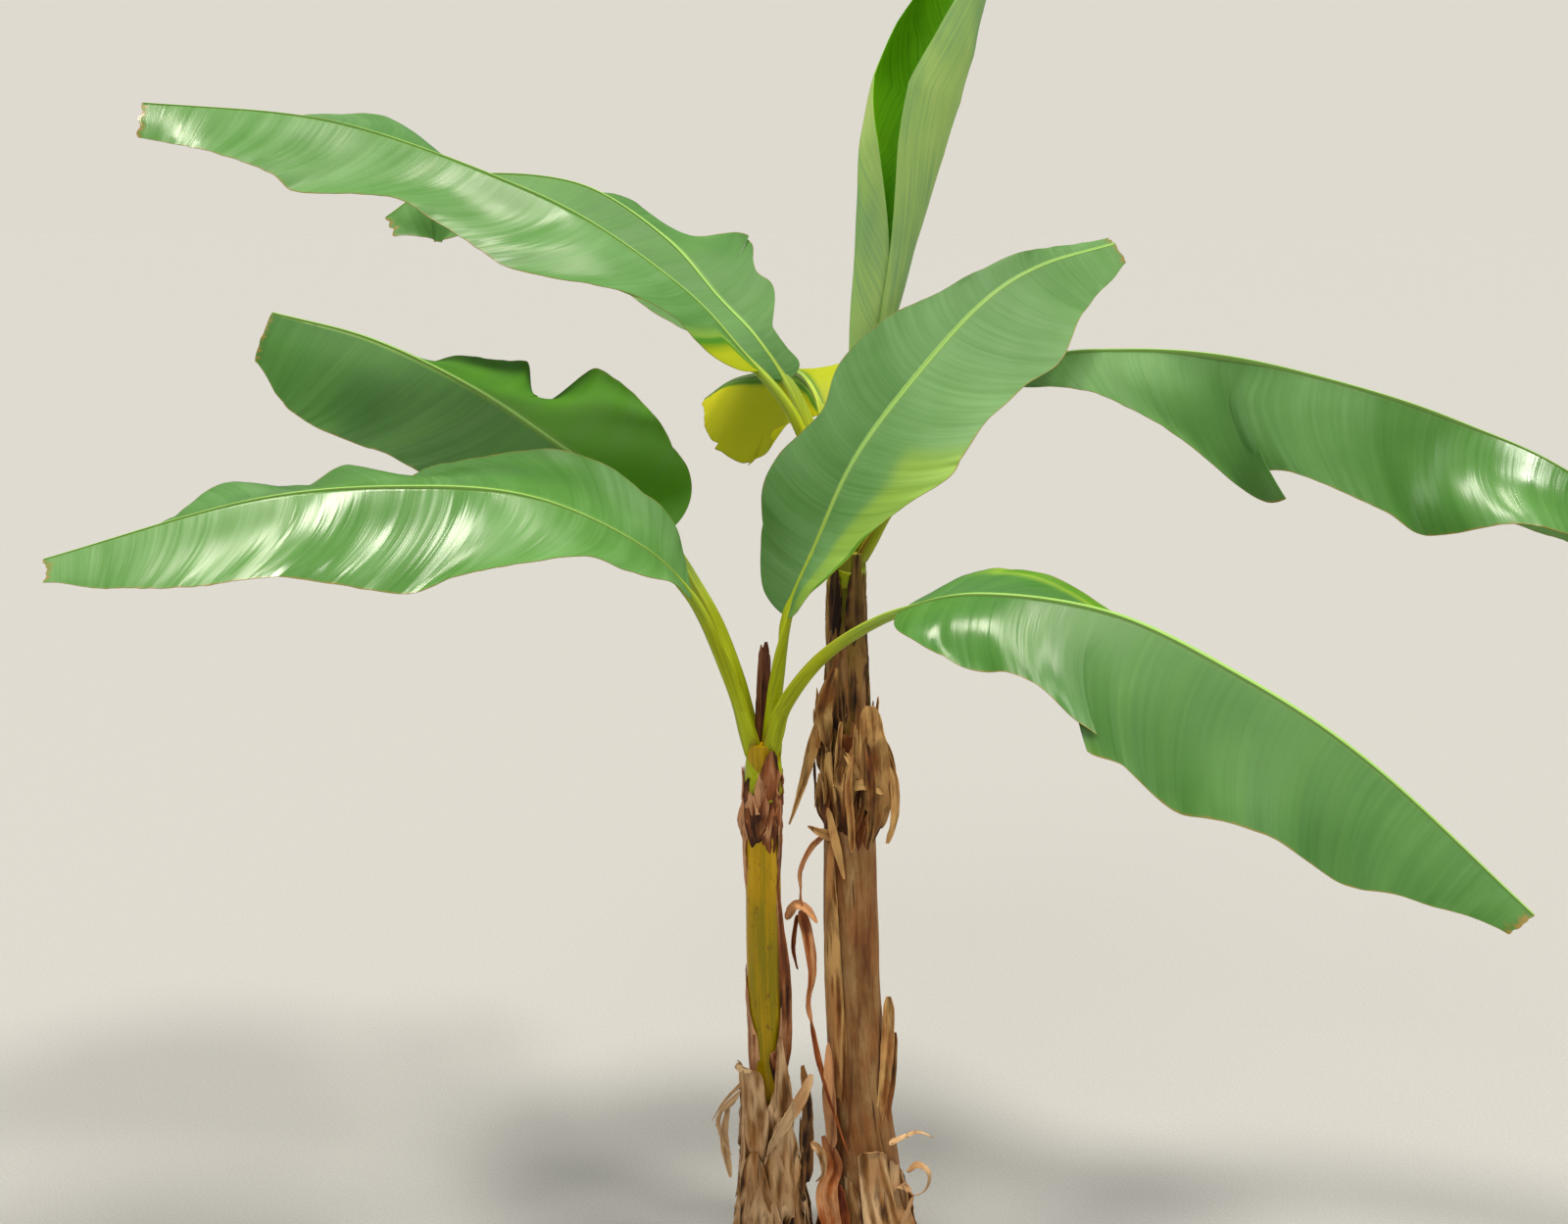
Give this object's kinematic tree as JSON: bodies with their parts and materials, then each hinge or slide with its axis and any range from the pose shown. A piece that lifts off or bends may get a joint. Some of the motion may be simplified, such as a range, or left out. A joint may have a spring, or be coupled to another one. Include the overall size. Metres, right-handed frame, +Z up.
{
  "type": "banana plant",
  "caption": "Young banana plant, a clump of leafy stems with broad arching leaves, a rolled new leaf and dry sheaths round the stems.",
  "frame": {"origin": "middle of the flat cut under the taller stem, at ground level", "axes": "+Z up; -Y towards the usual view, with +X to its right, along the spread of the leaves"},
  "size_m": [2.27, 1.434, 2.0514],
  "materials": {
    "aged_stem": "fibrous",
    "live_stem": "smooth waxy",
    "dry_sheath": "papery",
    "dark_sheath": "papery",
    "red_sheath": "papery",
    "stalk": "smooth waxy",
    "blade": "satin waxy",
    "backlit_blade": "satin, lit through",
    "rolled_blade": "satin waxy"
  },
  "bodies": {
    "root": {"pseudostem_tall": "aged_stem", "pseudostem_short": "live_stem", "sheath_collar_tall": "dry_sheath", "sheath_neck_tall": "dark_sheath", "sheath_skirt_short": "dry_sheath", "sheath_wrap_short": "red_sheath", "sheath_flare_tall": "dry_sheath", "sheath_flap_tall": "dry_sheath", "sheath_strip_short": "red_sheath", "dry_strip_upper": "dry_sheath", "dry_strip_lower": "dry_sheath", "dead_leaf_base": "red_sheath", "dry_stub_short": "dark_sheath", "rolled_leaf": "rolled_blade", "stalk_upper_left": "stalk", "leaf_upper_left": "blade", "stalk_upper_left_back": "stalk", "leaf_upper_left_back": "blade", "stalk_middle_left": "stalk", "leaf_middle_left": "blade", "stalk_lower_left": "stalk", "leaf_lower_left": "blade", "stalk_front": "stalk", "leaf_front": "blade", "stalk_lower_right": "stalk", "leaf_lower_right": "blade", "stalk_right": "stalk", "leaf_right": "blade", "stalk_back": "stalk", "leaf_back": "backlit_blade"}
  },
  "joints": []
}
